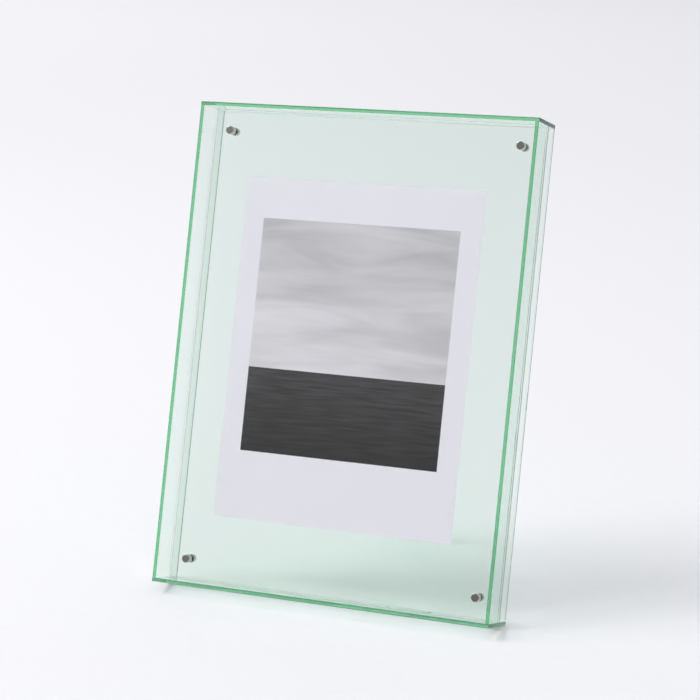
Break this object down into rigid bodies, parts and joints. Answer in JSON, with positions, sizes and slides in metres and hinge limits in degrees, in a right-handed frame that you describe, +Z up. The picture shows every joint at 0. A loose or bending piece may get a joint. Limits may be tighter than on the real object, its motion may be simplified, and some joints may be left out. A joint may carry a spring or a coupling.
{
  "type": "magnetic acrylic picture frame",
  "caption": "Shallow tinted acrylic box frame that clamps a print under a loose cover sheet with corner magnets and leans back on a fold-out rear leg.",
  "frame": {"origin": "on the floor under the middle of the object's bounding box", "axes": "+X to the right of someone facing the picture, +Y to the back, +Z up"},
  "size_m": [0.21, 0.1664, 0.2825],
  "materials": {
    "tinted_acrylic": "polished, glass-green, see-through",
    "clear_acrylic": "polished, clear",
    "photo_paper": "semi-matt photo paper with a printed grey picture",
    "nickel_plate": "satin nickel plating",
    "stainless_steel": "brushed"
  },
  "bodies": {
    "frame": {"top_wall": "tinted_acrylic", "bottom_wall": "tinted_acrylic", "left_wall": "tinted_acrylic", "right_wall": "tinted_acrylic", "back_panel": "tinted_acrylic", "rear_magnet_top_left": "nickel_plate", "rear_magnet_top_right": "nickel_plate", "rear_magnet_bottom_left": "nickel_plate", "rear_magnet_bottom_right": "nickel_plate", "leg_bracket": "stainless_steel", "hinge_pin": "stainless_steel", "pin_clip": "stainless_steel", "bracket_screws": "stainless_steel"},
    "cover": {"cover_sheet": "clear_acrylic"},
    "print": {"photo_print": "photo_paper"},
    "leg": {"leg": "tinted_acrylic"},
    "magnet_top_left": {"front_magnet_top_left": "nickel_plate"},
    "magnet_top_right": {"front_magnet_top_right": "nickel_plate"},
    "magnet_bottom_left": {"front_magnet_bottom_left": "nickel_plate"},
    "magnet_bottom_right": {"front_magnet_bottom_right": "nickel_plate"}
  },
  "joints": [
    {"name": "leg_fold", "type": "hinge", "parent": "frame", "child": "leg", "pos_m": [0, 0.00896, 0.21238], "axis": [-1, 0, 0], "range_deg": [0, 33.5]},
    {"name": "cover_lift", "type": "slide", "parent": "frame", "child": "cover", "axis": [0, -0.9659, 0.2588], "range_m": [0, 0.06]},
    {"name": "print_lift", "type": "slide", "parent": "frame", "child": "print", "axis": [0, -0.9659, 0.2588], "range_m": [0, 0.03]},
    {"name": "magnet_pull_top_left", "type": "slide", "parent": "cover", "child": "magnet_top_left", "axis": [0, -0.9659, 0.2588], "range_m": [0, 0.03]},
    {"name": "magnet_pull_top_right", "type": "slide", "parent": "cover", "child": "magnet_top_right", "axis": [0, -0.9659, 0.2588], "range_m": [0, 0.03]},
    {"name": "magnet_pull_bottom_left", "type": "slide", "parent": "cover", "child": "magnet_bottom_left", "axis": [0, -0.9659, 0.2588], "range_m": [0, 0.03]},
    {"name": "magnet_pull_bottom_right", "type": "slide", "parent": "cover", "child": "magnet_bottom_right", "axis": [0, -0.9659, 0.2588], "range_m": [0, 0.03]}
  ],
  "couplings": [
    {"joint": "print_lift", "follows": "cover_lift", "ratio": 0.5}
  ]
}
